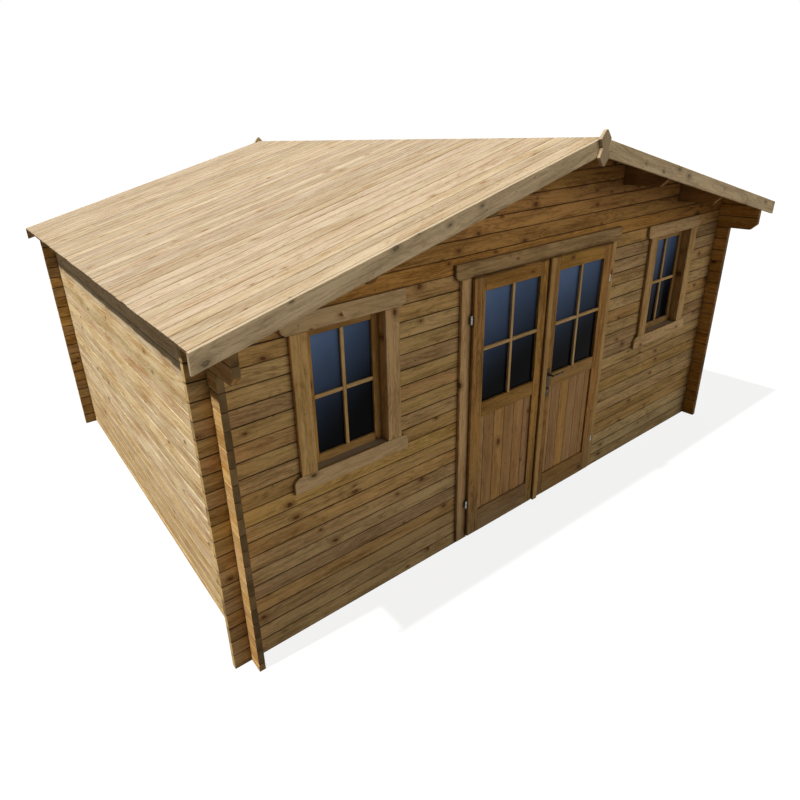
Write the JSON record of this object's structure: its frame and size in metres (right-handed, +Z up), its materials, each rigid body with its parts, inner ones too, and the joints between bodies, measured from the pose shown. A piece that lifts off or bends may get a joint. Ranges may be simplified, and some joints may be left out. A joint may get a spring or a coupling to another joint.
{
  "type": "log cabin",
  "caption": "Small garden log cabin of tongued pine logs with crossed corners, a low board-covered gable roof, a glazed double door that swings outward and a window on each side of it.",
  "frame": {"origin": "on the ground, below the middle of the overall box", "axes": "+X to the right seen from the front, +Y to the back, +Z up; the door faces -Y"},
  "size_m": [4.932, 4.2256, 2.6194],
  "materials": {
    "log": "planed pine, pressure treated",
    "purlin": "sawn pine",
    "roof_board": "planed pine boards, bare",
    "bargeboard": "planed pine",
    "trim": "planed pine",
    "door_timber": "planed pine",
    "door_panel": "planed pine boards",
    "sash_timber": "planed pine",
    "glass": "clear pane",
    "hinge_steel": "zinc plated",
    "handle_metal": "dull"
  },
  "bodies": {
    "cabin": {"front_wall_left": "log", "front_wall_right": "log", "front_gable": "log", "back_wall": "log", "back_gable": "log", "left_wall": "log", "right_wall": "log", "purlins": "purlin", "roof_left": "roof_board", "roof_right": "roof_board", "front_bargeboards": "bargeboard", "back_bargeboards": "bargeboard", "finials": "bargeboard", "door_frame": "door_timber", "door_trim": "trim", "door_hinge_pins": "hinge_steel", "left_window_lining": "sash_timber", "left_window_trim": "trim", "left_window_sash": "sash_timber", "left_window_glass": "glass", "right_window_lining": "sash_timber", "right_window_trim": "trim", "right_window_sash": "sash_timber", "right_window_glass": "glass"},
    "left_door": {"left_door_frame": "door_timber", "left_door_panel": "door_panel", "left_door_glass": "glass", "left_door_hinges": "hinge_steel"},
    "right_door": {"right_door_frame": "door_timber", "right_door_panel": "door_panel", "right_door_glass": "glass", "right_door_hinges": "hinge_steel", "right_door_strip": "trim", "right_door_handle": "handle_metal"}
  },
  "joints": [
    {"name": "left_door_swing", "type": "hinge", "parent": "cabin", "child": "left_door", "pos_m": [-0.691, -1.8118, 0.309], "axis": [0, 0, -1], "range_deg": [0, 110]},
    {"name": "right_door_swing", "type": "hinge", "parent": "cabin", "child": "right_door", "pos_m": [0.691, -1.8118, 0.309], "axis": [0, 0, 1], "range_deg": [0, 110]}
  ]
}
